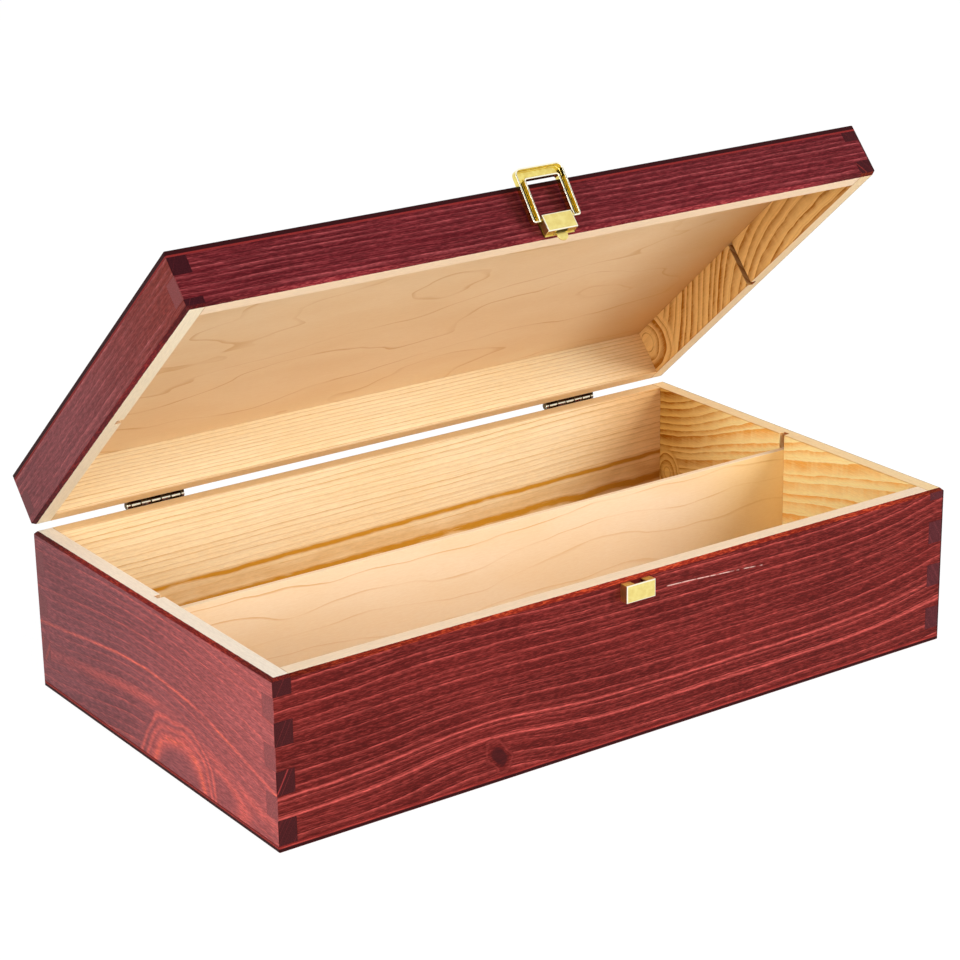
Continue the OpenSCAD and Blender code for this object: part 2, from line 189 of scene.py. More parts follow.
class Recipe:
    """A material or a shared effect, written as a chain of shader nodes."""

    def __init__(self, tree: bpy.types.NodeTree) -> None:
        """Starts on a node tree."""
        self.tree = tree

    def step(self, kind: str, **settings: object) -> bpy.types.Node:
        """Adds one node.

        Args:
            kind: type of the node.
            **settings: its options.

        Returns:
            The node.
        """
        node = self.tree.nodes.new(kind)
        for name, value in settings.items():
            setattr(node, name, value)
        return node

    def feed(self, socket: bpy.types.NodeSocket, value: object) -> None:
        """Links an amount or a socket, or sets a plain value.

        Args:
            socket: the socket to fill.
            value: what goes in.
        """
        if isinstance(value, Amount):
            value = value.socket
        if isinstance(value, bpy.types.NodeSocket):
            self.tree.links.new(value, socket)
        elif isinstance(value, tuple) and socket.type == "RGBA":
            socket.default_value = (*value[:3], 1.0)
        else:
            socket.default_value = value

    def calc(self, operation: str, *terms: "Amount | float") -> Amount:
        """One step of arithmetic.

        Args:
            operation: name of the sum.
            *terms: what it works on.

        Returns:
            The result.
        """
        node = self.step("ShaderNodeMath", operation=operation)
        for socket, term in zip(node.inputs, terms):
            self.feed(socket, term)
        return Amount(self, node.outputs[0])

    def split(self, vector: bpy.types.NodeSocket) -> tuple[Amount, Amount, Amount]:
        """Three parts of a vector."""
        node = self.step("ShaderNodeSeparateXYZ")
        self.feed(node.inputs[0], vector)
        return tuple(Amount(self, out) for out in node.outputs)

    def join(self, *parts: "Amount | float") -> bpy.types.NodeSocket:
        """A vector from up to three parts."""
        node = self.step("ShaderNodeCombineXYZ")
        for socket, part in zip(node.inputs, parts):
            self.feed(socket, part)
        return node.outputs[0]

    def cloud(
        self, vector: bpy.types.NodeSocket, which: float, detail: float = 2.0, rough: float = 0.5
    ) -> Amount:
        """Smooth noise about one unit across, 0 to 1.

        Args:
            vector: where it is read, in its own units.
            which: number of the noise, so that two of them differ.
            detail: how many finer layers it has.
            rough: how strong they are.

        Returns:
            The noise.
        """
        away = self.step("ShaderNodeVectorMath", operation="ADD")
        self.feed(away.inputs[0], vector)
        away.inputs[1].default_value = tuple(which * step for step in NOISE_STEP)
        node = self.step("ShaderNodeTexNoise", noise_dimensions="3D")
        settings = (("Vector", away.outputs[0]), ("Scale", 1.0), ("Detail", detail), ("Roughness", rough))
        for name, value in settings:
            self.feed(node.inputs[name], value)
        return Amount(self, node.outputs[0])

    def chance(self, number: Amount) -> Amount:
        """A number from 0 to 1 drawn for each value."""
        node = self.step("ShaderNodeTexWhiteNoise", noise_dimensions="1D")
        self.feed(node.inputs["W"], number)
        return Amount(self, node.outputs["Value"])

    def blend(self, share: "Amount | float", first: object, second: object) -> bpy.types.NodeSocket:
        """Mixes two colours.

        Args:
            share: how much of the second.
            first: one colour.
            second: the other.

        Returns:
            The mixed colour.
        """
        node = self.step("ShaderNodeMix", data_type="RGBA", clamp_factor=True)
        for index, value in ((0, share), (6, first), (7, second)):
            self.feed(node.inputs[index], value)
        return node.outputs[2]

    def coats(self, colour: object, *coats: tuple["Amount | float", object]) -> bpy.types.NodeSocket:
        """Lays further colours over one.

        Args:
            colour: the lowest colour.
            *coats: share of cover and colour of each coat, from the lowest up.

        Returns:
            The mixed colour.
        """
        for share, coat in coats:
            colour = self.blend(share, colour, coat)
        return colour

    def shade(self, colour: object, amount: "Amount | float") -> bpy.types.NodeSocket:
        """A colour made lighter or darker by an amount."""
        node = self.step("ShaderNodeVectorMath", operation="SCALE")
        self.feed(node.inputs[0], colour)
        self.feed(node.inputs["Scale"], amount)
        return node.outputs[0]

    def between(self, share: "Amount | float", first: "Amount | float", second: "Amount | float") -> Amount:
        """Mixes two numbers.

        Args:
            share: how much of the second.
            first: one number.
            second: the other.

        Returns:
            The mixed number.
        """
        node = self.step("ShaderNodeMix", data_type="FLOAT", clamp_factor=True)
        for index, value in ((0, share), (2, first), (3, second)):
            self.feed(node.inputs[index], value)
        return Amount(self, node.outputs[0])

    def use(self, effect: bpy.types.NodeTree, source: object = None, **given: object) -> dict[str, Amount]:
        """Places a shared effect with its own values.

        Args:
            effect: the node group.
            source: record whose fields fill the inputs of the same names.
            **given: the other inputs, by their names.

        Returns:
            Its outputs by name.
        """
        node = self.step("ShaderNodeGroup", node_tree=effect)
        for socket in node.inputs:
            field = socket.name.lower().replace(" ", "_")
            self.feed(socket, given[field] if field in given else getattr(source, field))
        return {out.name: Amount(self, out) for out in node.outputs}


class Effects:
    """Shared effects, each built once as a node group."""

    def __init__(self) -> None:
        """Builds the groups that the finishes use."""
        self.rings = self._group(
            "Growth rings",
            ("Along", "Height", "Depth", "Spacing", "Waver", "Uneven", "Sharpness", "Fade", "Seed"),
            ("Line", "Phase"),
            self._growth_rings,
        )
        self.swell = self._group(
            "Grain swell",
            ("Along", "Height", "Level", "Middle", "Middle height", "Length", "Tallness", "Rise"),
            ("Level",),
            self._grain_swell,
        )
        self.eye = self._group(
            "Grain eye",
            ("Along", "Height", "Middle", "Middle height", "Squeeze", "Lean", "Reach", "Ragged", "Seed"),
            ("Radius", "Inside"),
            self._grain_eye,
        )
        self.fibre = self._group(
            "Wood fibre", ("Along", "Height", "Depth", "Seed"), ("Streak", "Fleck", "Patch"), self._wood_fibre
        )
        self.reach = self._group(
            "Stain reach", ("X", "Y", "Z", "Ragged"), ("Outside", "Chamfer"), self._stain_reach
        )
        self.wear = self._group(
            "Handled metal",
            ("X", "Y", "Z", "Size", "Seed"),
            ("Cloud", "Scratch", "Grit"),
            self._handled_metal,
        )

    @staticmethod
    def _group(
        name: str,
        inputs: tuple[str, ...],
        outputs: tuple[str, ...],
        body: Callable[[Recipe, list[Amount]], dict[str, Amount]],
    ) -> bpy.types.NodeTree:
        """Makes one node group.

        Args:
            name: its name.
            inputs: its inputs.
            outputs: its outputs.
            body: writes the steps between them.

        Returns:
            The node group.
        """
        tree = bpy.data.node_groups.new(name, "ShaderNodeTree")
        for way, labels in (("INPUT", inputs), ("OUTPUT", outputs)):
            for label in labels:
                tree.interface.new_socket(name=label, in_out=way, socket_type="NodeSocketFloat")
        recipe = Recipe(tree)
        start = recipe.step("NodeGroupInput")
        end = recipe.step("NodeGroupOutput")
        made = body(recipe, [Amount(recipe, start.outputs[label]) for label in inputs])
        for label in outputs:
            recipe.feed(end.inputs[label], made[label])
        return tree

    @staticmethod
    def _growth_rings(r: Recipe, given: list[Amount]) -> dict[str, Amount]:
        """Late-wood lines: each ring darkens slowly and ends at a sharp edge.

        Args:
            r: the recipe.
            given: place along the fibres, across the rings and below the shown face, width of a ring, how far
                it strays, how much rings differ in width, how thin the late wood is, how much a line comes
                and goes, and which noise it has.

        Returns:
            The line's strength and the place within the ring.
        """
        along, height, depth, spacing, waver, uneven, sharpness, fade, seed = given
        along = along + seed * SEED_STEP
        broad = r.cloud(r.join(along / 75, height / 26, depth / 26), 0.0, 1.0)
        fine = r.cloud(r.join(along / 12, height / 5, depth / 5), 9.0, 2.5, 0.6)
        turn = (height + (broad - 0.5) * waver * 2.4 + (fine - 0.5) * waver * 0.9) / spacing
        stray = r.cloud(r.join(turn * 0.8, seed, 0.0), 3.0, 0.0)
        turn = turn + (stray - 0.5) * uneven * 1.6
        phase = r.calc("FRACT", turn)
        ring = r.calc("FLOOR", turn)
        luck = r.chance(ring + seed)
        other = r.chance(ring * 1.37 + seed + 5.1)
        ramp = phase ** (sharpness * (other * 0.9 + 0.55))
        edge = phase.fall(0.95, 1.0)
        drift = r.cloud(r.join(along / 34, ring * 3.7, 0.0), 7.0, 1.0, 0.6)
        kept = r.between(fade, 1.0, drift.rise(0.34, 0.62))
        thread = r.calc("FRACT", turn * 3.0 + 0.45)
        threads = (thread ** 5.0) * thread.fall(0.9, 1.0) * drift.rise(0.62, 0.42)
        dash = r.cloud(r.join(along / 5, ring * 5.3, 0.0), 12.0, 2.0, 0.6).rise(0.3, 0.6, 0.65, 1.0)
        line = ramp * edge * kept * dash * (luck * 0.45 + 0.55)
        return {"Line": line.most(threads * 0.34), "Phase": phase}

    @staticmethod
    def _grain_swell(r: Recipe, given: list[Amount]) -> dict[str, Amount]:
        """Bends the rings over a place, as they pass a knot that lies below.

        Args:
            r: the recipe.
            given: place along the fibres and across them, ring level so far, middle of the swell along and
                across, half its length, half its height, and how far it lifts a line.

        Returns:
            The bent ring level.
        """
        along, height, level, middle, middle_height, length, tallness, rise = given
        a = (along - middle) / length
        h = (height - middle_height) / tallness
        return {"Level": level - rise * r.calc("EXPONENT", -(a * a + h * h))}

    @staticmethod
    def _grain_eye(r: Recipe, given: list[Amount]) -> dict[str, Amount]:
        """Distance from the middle of a knot or arch, and where its own rings rule.

        Args:
            r: the recipe.
            given: place along the fibres and across them, middle along and across, squeeze (below 1 for an
                eye that is long along the fibres), how far it leans back as it goes down, how far its rings
                go, how uneven its outline is, and which noise it has.

        Returns:
            The distance, and 1 inside the reach.
        """
        along, height, middle, middle_height, squeeze, lean, reach, ragged, seed = given
        h = height - middle_height
        a = (along - middle + h * lean) * squeeze
        far = r.calc("SQRT", a * a + h * h)
        size = reach * 0.75
        wobble = r.cloud(r.join(along / size + seed * 13.0, height / size, 0.0), 0.0, 1.0)
        far = far + (wobble - 0.5) * far * ragged
        return {"Radius": far, "Inside": (far / reach).fall(0.9, 1.06)}

    @staticmethod
    def _wood_fibre(r: Recipe, given: list[Amount]) -> dict[str, Amount]:
        """Fine streaks and flecks along the fibres, and broad soft patches.

        Args:
            r: the recipe.
            given: place along the fibres, across them and below the shown face, and which noise it has.

        Returns:
            Streak, fleck and patch, each 0 to 1.
        """
        along, height, depth, seed = given
        along = along + seed * SEED_STEP
        streak = r.cloud(r.join(along / 8, height / 0.5, depth / 0.5), 0.0, 2.0, 0.6)
        fleck = r.cloud(r.join(along / 2.6, height / 0.4, depth / 0.4), 4.0, 1.0)
        patch = r.cloud(r.join(along / 60, height / 20, depth / 20), 8.0, 1.0)
        return {
            "Streak": streak.rise(0.34, 0.66),
            "Fleck": fleck.rise(0.3, 0.7),
            "Patch": patch.rise(0.32, 0.68),
        }

    @staticmethod
    def _stain_reach(r: Recipe, given: list[Amount]) -> dict[str, Amount]:
        """Where the stain was brushed: outside, up to the inner edge of the rim chamfers.

        Args:
            r: the recipe.
            given: X, Y and Z in the closed box, and how far the stain strays at its edge.

        Returns:
            1 on the stained outside, and 1 on the rim chamfers.
        """
        x, y, z, ragged = given
        inset = BOX.chamfer + 0.04
        side = (abs(x) - (BOX.half_width - inset)).most(abs(y) - (BOX.half_depth - inset))
        ends = (z - (BOX.height - 0.15)).most(-z + 0.15)
        bleed = r.cloud(r.join(x / 2.5, y / 2.5, z / 2.5), 2.0, 3.0, 0.6)
        outside = (side.most(ends) + (bleed - 0.5) * ragged).rise(-0.04, 0.05)
        chamfer = abs(z - BOX.shut).fall(BOX.chamfer, BOX.chamfer + 0.25)
        return {"Outside": outside, "Chamfer": chamfer * outside}

    @staticmethod
    def _handled_metal(r: Recipe, given: list[Amount]) -> dict[str, Amount]:
        """Soft clouds, fine scratches and grit on metal.

        Args:
            r: the recipe.
            given: X, Y and Z in the closed box, width of a cloud, and which noise it has.

        Returns:
            Cloud, scratch and grit, each 0 to 1.
        """
        x, y, z, size, seed = given
        x = x + seed * SEED_STEP
        cloud = r.cloud(r.join(x / size, y / size, z / size), 0.0, 2.0, 0.6)
        scratch = r.cloud(r.join(x / 4, y / 0.12, z / 0.12), 2.0, 1.0)
        grit = r.cloud(r.join(x / 0.25, y / 0.25, z / 0.25), 5.0, 1.0)
        return {
            "Cloud": cloud.rise(0.3, 0.7),
            "Scratch": scratch.rise(0.35, 0.65),
            "Grit": grit.rise(0.3, 0.7),
        }


# ---------------------------------------------------------------- finishes


@dataclass(frozen=True)
class Swell:
    """A place that bends the rings: middle, half sizes and how far it lifts them."""

    middle: float
    middle_height: float
    length: float
    tallness: float
    rise: float


@dataclass(frozen=True)
class Band:
    """One strong line at a ring level."""

    level: float
    width: float
    strength: float


@dataclass(frozen=True)
class Eye:
    """Rings round a knot or an arch: middle, reach, shape and the clear wood or dark core at its heart."""

    middle: float
    middle_height: float
    reach: float
    squeeze: float
    spacing: float
    clear: float
    core: float = 0.0
    lean: float = 0.0
    ragged: float = 0.4
    strength: float = 1.0
    bands: tuple[Band, ...] = ()


@dataclass(frozen=True)
class Stain:
    """Colours of the stained outside of a board.

    Its front end takes another colour by a share, as painted light and sheen that change along a side, and
    calm below 1 dims the lines of its back end.
    """

    deep: Colour = seen(82, 20, 20)
    body: Colour = seen(112, 34, 34)
    line: Colour = seen(202, 78, 68)
    hot: Colour = seen(236, 116, 80)
    chamfer: Colour = seen(132, 38, 24)
    chamfer_fleck: Colour = seen(216, 94, 52)
    end: Colour = seen(58, 18, 22)
    end_line: Colour = seen(150, 50, 44)
    knot: Colour = seen(58, 18, 20)
    scratch: Colour = seen(240, 196, 184)
    # painted shade: dark colour on the front-right vertical corner, where the rounding is in shade
    corner: Colour = seen(34, 10, 12)
    # painted light and sheen: share and colour of the front end of a side
    front_end_light: float = 0.0
    front_end_light_colour: Colour = seen(220, 104, 96)
    calm: float = 1.0


@dataclass(frozen=True)
class BareWood:
    """Colours of bare wood inside the box, which turn warmer and darker from one place along the board to
    another: painted shade towards the right end of the back boards, and on the right board a darker heartwood
    tone with painted shade towards its back.
    """

    pale: Colour = seen(251, 234, 198)
    warm: Colour = seen(247, 221, 173)
    line: Colour = seen(210, 154, 72)
    # painted shade, and on the right board a darker heartwood tone: colour, line colour and the span along
    # the board where it comes in
    shade_and_heartwood: Colour = seen(206, 142, 54)
    shade_and_heartwood_line: Colour = seen(160, 98, 28)
    shade_and_heartwood_from: float = 0.0
    shade_and_heartwood_to: float = 0.0
    rim: Colour = seen(255, 247, 233)
    # painted shade in a thin line just under the rims, and the colour of the joint lines on the rim tops
    edge_shade_and_joint: Colour = seen(176, 112, 56)
    rim_edge: Colour = seen(96, 72, 48)
    # painted shade: darker brown inside the divider's groove
    groove: Colour = seen(166, 98, 50)
    knot: Colour = seen(120, 66, 26)
    bold: float = 1.0


@dataclass(frozen=True)
class Scratch:
    """A fine pale scratch in a board's stain, from one point to another."""

    from_along: float
    from_height: float
    to_along: float
    to_height: float


@dataclass(frozen=True)
class Board:
    """One pine board: its node, the place of its shown face, its grain and its colours."""

    node: str
    grain: Grain
    shown: float
    spacing: float
    seed: float
    waver: float = 1.2
    uneven: float = 0.5
    sharpness: float = 7.0
    fade: float = 0.5
    tilt: float = 0.0
    lean: float = 1.7
    swells: tuple[Swell, ...] = ()
    bands: tuple[Band, ...] = ()
    eyes: tuple[Eye, ...] = ()
    scratch: Scratch | None = None
    stain: Stain = Stain()
    bare: BareWood = BareWood()


@dataclass
class Spot:
    """What a board's finish reads at a point: place, lines, dark core, place in the ring, fibres and tone."""

    x: Amount
    y: Amount
    z: Amount
    along: Amount
    line: Amount
    core: Amount
    phase: Amount
    streak: Amount
    fleck: Amount
    patch: Amount
    tone: Amount


@dataclass(frozen=True)
class Panel:
    """One plywood sheet: its node, the low face of its layers, its veneer, colours and stained edge."""

    node: str
    upright: bool
    low: float
    seed: float
    slot: Slot
    stain: Stain = Stain()
    pale: Colour = seen(248, 222, 184)
    warm: Colour = seen(242, 211, 168)
    line: Colour = seen(216, 168, 108)
    edge: Colour = seen(246, 226, 196)
    spread: float = 52.0
    turns: float = 6.5
    rise: float = 90.0
    seam: tuple[float, float] = (1.35, 0.45)
    ridge: float = 2.3
    # painted shade: warmer, darker colour towards the right end of a panel, and where it comes in
    shade_and_heartwood: Colour = seen(206, 150, 74)
    shade_and_heartwood_from: float = 90.0
    shade_and_heartwood_to: float = 172.0


@dataclass(frozen=True)
class Sheet:
    """Outer faces of a part folded from sheet, in the closed box: front, middle, half height and width."""

    front: float
    z: float
    half_height: float
    half_width: float = 7.5


@dataclass(frozen=True)
class Brass:
    """A brass finish: its slot, the body whose place it follows, its colours and its roughness.

    Painted light changes it: a painted shadow on the lip of a plate, and painted highlights on the folds of a
    sheet, the rim of a channel or the round of the knuckles, which are given by their middle and pitch.
    """

    name: str
    slot: Slot
    body: str
    bright: Colour
    dull: Colour
    rough: float
    rough_spread: float
    bump: float
    # colour of the painted highlights, or of the painted shadow on a lip
    rubbed: Colour = seen(255, 250, 226)
    sheet: Sheet | None = None
    lip: float = 0.0
    rim: float = 0.0
    knuckles: tuple[float, float] | None = None


@dataclass(frozen=True)
class Part:
    """One brass part: its node, its body and the rounding of its edges, which a folded sheet sets itself."""

    node: str
    body: str
    edge: float = 0.0


class Place:
    """Where a piece of the open box is when the box is closed."""

    def __init__(self, joints: list[dict]) -> None:
        """Reads the lid's hinge and the clasp's pivot.

        Args:
            joints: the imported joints.
        """
        by_child = {joint["child"]: joint for joint in joints}
        self.axis = Vector(by_child["lid"]["pos_m"])
        self.turns = {"base": 0.0}
        self.closings = {"base": Matrix.Identity(4)}
        for parent, body in (("base", "lid"), ("lid", "clasp")):
            joint = by_child[body]
            turn = math.radians(joint["range_deg"][0]) * joint["axis"][0]
            at = Vector(joint["pos_m"])
            closing = Matrix.Translation(at) @ Matrix.Rotation(turn, 4, "X") @ Matrix.Translation(-at)
            self.turns[body] = self.turns[parent] + turn
            self.closings[body] = self.closings[parent] @ closing

    def closed(self, point: Vector, body: str) -> Vector:
        """A point of the open box, in millimetres of the closed one."""
        return (self.closings[body] @ point) / MM

    def read(self, r: Recipe, body: str) -> tuple[Amount, Amount, Amount]:
        """Gives a material the closed box's millimetres.

        Args:
            r: the recipe.
            body: the body that the piece rides on.

        Returns:
            X, Y and Z.
        """
        here = r.step("ShaderNodeTexCoord").outputs["Object"]
        mapping = r.step("ShaderNodeMapping", vector_type="POINT")
        r.feed(mapping.inputs["Vector"], here)
        mapping.inputs["Scale"].default_value = (1 / MM,) * 3
        mapping.inputs["Rotation"].default_value = (self.turns[body], 0.0, 0.0)
        mapping.inputs["Location"].default_value = tuple(self.closings[body].to_translation() / MM)
        return r.split(mapping.outputs["Vector"])


def new_material(name: str) -> tuple[bpy.types.Material, Recipe]:
    """Makes an empty material.

    Args:
        name: its name.

    Returns:
        The material and its recipe.
    """
    material = bpy.data.materials.new(name)
    material.use_nodes = True
    material.node_tree.nodes.clear()
    return material, Recipe(material.node_tree)


class Finisher:
    """Makes the materials, with the depths of their relief and the sizes of their marks in millimetres."""

    wood_shine: float = 0.06
    board_relief: float = 0.035
    panel_relief: float = 0.025
    board_stray: float = 0.35
    panel_stray: float = 0.3
    cloud_size: float = 2.6
    scratch_width: float = 0.32

    def __init__(self, effects: Effects, place: Place) -> None:
        """Keeps the shared effects and the closed box's place."""
        self.effects = effects
        self.place = place

    @staticmethod
    def _start(name: str) -> tuple[bpy.types.Material, Recipe, bpy.types.Node]:
        """A new material with its shader.

        Args:
            name: name of the material.

        Returns:
            The material, its recipe and its shader node.
        """
        material, r = new_material(name)
        shader = r.step("ShaderNodeBsdfPrincipled")
        r.feed(r.step("ShaderNodeOutputMaterial").inputs["Surface"], shader.outputs[0])
        return material, r, shader

    @staticmethod
    def _relief(r: Recipe, shader: bpy.types.Node, height: Amount, depth: float) -> None:
        """Gives a surface a fine relief.

        Args:
            r: the recipe.
            shader: the shader it belongs to.
            height: height of the relief, 0 to 1.
            depth: its depth in millimetres.
        """
        bump = r.step("ShaderNodeBump")
        bump.inputs["Strength"].default_value = 1.0
        bump.inputs["Distance"].default_value = depth * MM
        r.feed(bump.inputs["Height"], height)
        r.feed(shader.inputs["Normal"], bump.outputs[0])

    def _board_rings(
        self, r: Recipe, board: Board, along: Amount, depth: Amount, z: Amount
    ) -> tuple[Amount, Amount, Amount]:
        """Lines, cores and phase of a board's rings.

        Args:
            r: the recipe.
            board: the board.
            along: place along its fibres.
            depth: place below its shown face.
            z: height in the closed box.

        Returns:
            Line, dark knot core and place within the ring, each 0 to 1.
        """
        level = z + along * board.tilt + depth * board.lean
        for swell in board.swells:
            level = r.use(self.effects.swell, swell, along=along, height=z, level=level)["Level"]
        rings = r.use(self.effects.rings, board, along=along, height=level, depth=depth)
        line = self._bands(r, board.bands, rings["Line"], level, along, board.seed)
        core = line * 0.0
        for number, eye in enumerate(board.eyes):
            seed = board.seed + 11.0 + number
            round_it = r.use(self.effects.eye, eye, along=along, height=z, seed=seed)
            far = round_it["Radius"]
            own = {"spacing": eye.spacing, "waver": 0.25, "uneven": 0.4, "seed": seed}
            arcs = r.use(self.effects.rings, board, along=along, height=far, depth=depth, **own)
            arc = arcs["Line"] * far.rise(eye.clear, eye.clear + 1.5) * eye.strength
            arc = self._bands(r, eye.bands, arc, far, along, seed)
            line = r.between(round_it["Inside"], line, arc)
            if eye.core:
                core = core.most(far.fall(eye.core * 0.8, eye.core * 1.25))
        return line, core, rings["Phase"]

    def _bands(
        self, r: Recipe, bands: tuple[Band, ...], line: Amount, level: Amount, along: Amount, seed: float
    ) -> Amount:
        """Adds strong lines at chosen levels.

        Args:
            r: the recipe.
            bands: the strong lines.
            line: the lines so far.
            level: ring level.
            along: place along the fibres.
            seed: which noise they have.

        Returns:
            The lines with the strong ones.
        """
        for number, band in enumerate(bands):
            drift = r.cloud(r.join(along / 26, 0.0, 0.0), seed + 20.0 + number, 2.0)
            offset = (level - band.level + (drift - 0.5) * band.width * 1.5) / (band.width * 0.6)
            line = line.most(offset.bell() * drift.rise(0.25, 0.5, 0.55, 1.0) * band.strength)
        return line

    def pine(self, board: Board, body: str) -> bpy.types.Material:
        """Pine, stained outside and bare inside.

        Args:
            board: the board.
            body: the body it rides on.

        Returns:
            The material.
        """
        material, r, shader = self._start(f"{board.node} pine")
        x, y, z = self.place.read(r, body)
        along, across = (x, y) if board.grain is Grain.ALONG_FRONT else (y, x)
        depth = abs(across - board.shown)
        line, core, phase = self._board_rings(r, board, along, depth, z)
        fibre = r.use(self.effects.fibre, board, along=along, height=z, depth=depth)
        streak, fleck, patch = fibre["Streak"], fibre["Fleck"], fibre["Patch"]
        tone = patch * 0.3 + streak * 0.45 + phase * 0.25
        spot = Spot(x, y, z, along, line, core, phase, streak, fleck, patch, tone)
        reach = r.use(self.effects.reach, x=x, y=y, z=z, ragged=self.board_stray)
        stained = self._stained(r, board, spot, reach["Chamfer"])
        bare = self._bare(r, board.bare, spot)
        r.feed(shader.inputs["Base Color"], r.blend(reach["Outside"], bare, stained))
        rough = r.between(reach["Outside"], 0.6, 0.46) + (streak - 0.5) * 0.14
        r.feed(shader.inputs["Roughness"], rough)
        shader.inputs["Specular IOR Level"].default_value = self.wood_shine
        self._relief(r, shader, streak * 0.6 + fleck * 0.4, self.board_relief)
        return material

    def _stained(self, r: Recipe, board: Board, spot: Spot, chamfer: Amount) -> bpy.types.NodeSocket:
        """Colour of a board's stained outside.

        Args:
            r: the recipe.
            board: the board.
            spot: what is read at the point.
            chamfer: 1 on the rim chamfers.

        Returns:
            The colour.
        """
        stain = board.stain
        limit = BOX.half_width if board.grain is Grain.ALONG_FRONT else BOX.half_depth
        lively = spot.along.rise(90.0, -10.0, stain.calm, 1.0)
        colour = r.coats(
            stain.deep,
            (spot.tone, stain.body),
            # painted light and sheen: the front end of a side takes another colour
            (spot.along.rise(50.0, -105.0) * stain.front_end_light, stain.front_end_light_colour),
            (spot.line * (spot.streak * 0.5 + 0.7) * lively, stain.line),
            (spot.line.rise(0.6, 0.95) * spot.streak * 0.6 * lively, stain.hot),
        )
        colour = r.coats(
            r.shade(colour, spot.fleck * 0.5 + 0.75),
            (spot.fleck.rise(0.72, 0.95) * 0.07, stain.line),
            (spot.core * (spot.streak * 0.3 + 0.65), stain.knot),
        )
        if board.scratch:
            colour = r.blend(self._scratched(r, board.scratch, spot), colour, stain.scratch)
        grains = spot.fleck.rise(0.45, 0.8) * (spot.streak * 0.5 + 0.3)
        # the chamfer colour darkens towards both ends of the board
        dim_towards_ends = abs(spot.along).rise(limit - 45.0, limit - 8.0, 1.0, 0.45)
        edge = r.shade(r.blend(grains, stain.chamfer, stain.chamfer_fleck), (spot.patch * 0.5 + 0.7) * dim_towards_ends)
        ticks = r.blend(spot.line.rise(0.3, 0.8) * 0.7, stain.end, stain.end_line)
        end = abs(spot.along).rise(limit - 0.35, limit - 0.2)
        # painted shade: darkens the front-right vertical corner of each board
        corner_shade_x = spot.x.rise(BOX.half_width - 1.3, BOX.half_width - 0.5)
        corner_shade_y = spot.y.rise(3.0 - BOX.half_depth, 1.0 - BOX.half_depth)
        return r.coats(
            colour,
            (chamfer * 0.95, edge),
            (end, r.shade(ticks, spot.fleck * 0.5 + 0.75)),
            (corner_shade_x * corner_shade_y * 0.85, stain.corner),
        )

    def _scratched(self, r: Recipe, mark: Scratch, spot: Spot) -> Amount:
        """Strength of a fine scratch, which wavers and is broken here and there.

        Args:
            r: the recipe.
            mark: the scratch.
            spot: what is read at the point.

        Returns:
            0 to 0.8.
        """
        along = spot.along
        slope = (mark.to_height - mark.from_height) / (mark.to_along - mark.from_along)
        off = abs(spot.z - (along - mark.from_along) * slope - mark.from_height + (spot.patch - 0.5) * 0.8)
        begun = along.rise(mark.from_along - 1.0, mark.from_along)
        ended = along.fall(mark.to_along, mark.to_along + 1.0)
        broken = r.cloud(r.join(along / 4, 0.0, 0.0), 6.0, 2.0).rise(0.38, 0.55)
        return off.rise(0.1, self.scratch_width, 0.8, 0.0) * begun * ended * broken

    def _bare(self, r: Recipe, bare: BareWood, spot: Spot) -> bpy.types.NodeSocket:
        """Colour of a board's bare inside, with its rim and the divider's groove.

        Args:
            r: the recipe.
            bare: its colours.
            spot: what is read at the point.

        Returns:
            The colour.
        """
        colour = r.blend(spot.tone, bare.warm, bare.pale)
        late = bare.line
        # painted shade towards one end of the board, and on the right board also a darker heartwood tone
        if bare.shade_and_heartwood_to:
            shade_and_heartwood_share = spot.along.rise(bare.shade_and_heartwood_from, bare.shade_and_heartwood_to)
            colour = r.blend(shade_and_heartwood_share * 0.8, colour, bare.shade_and_heartwood)
            late = r.blend(shade_and_heartwood_share, bare.line, bare.shade_and_heartwood_line)
        off_rim = abs(spot.z - BOX.shut) - BOX.half_gap
        rim = off_rim.fall(0.03, 0.1)
        beyond = abs(spot.x) - BOX.inner_end
        joint = abs(beyond).fall(0.0, 0.3)
        sunk = beyond.rise(0.15, 0.4) * beyond.fall(BOX.groove_depth + 0.1, BOX.groove_depth + 0.2)
        colour = r.coats(
            colour,
            (spot.phase * spot.phase * 0.2, late),
            (spot.line * (spot.streak * 0.4 + 0.75) * bare.bold, late),
            # painted shade: a thin brown line just under the rims
            (off_rim.rise(0.3, 0.7, 0.4, 0.0), bare.edge_shade_and_joint),
            (rim * 0.85, r.blend(joint * 0.5, bare.rim, bare.edge_shade_and_joint)),
            (rim * spot.x.rise(172.7, 173.3) * 0.55, bare.rim_edge),
            # painted shade inside the divider's groove
            (sunk * abs(spot.y).fall(1.6, 1.7), bare.groove),
        )
        colour = r.shade(colour, spot.fleck * 0.08 + 0.96)
        return r.blend(spot.core * 0.7, colour, bare.knot)

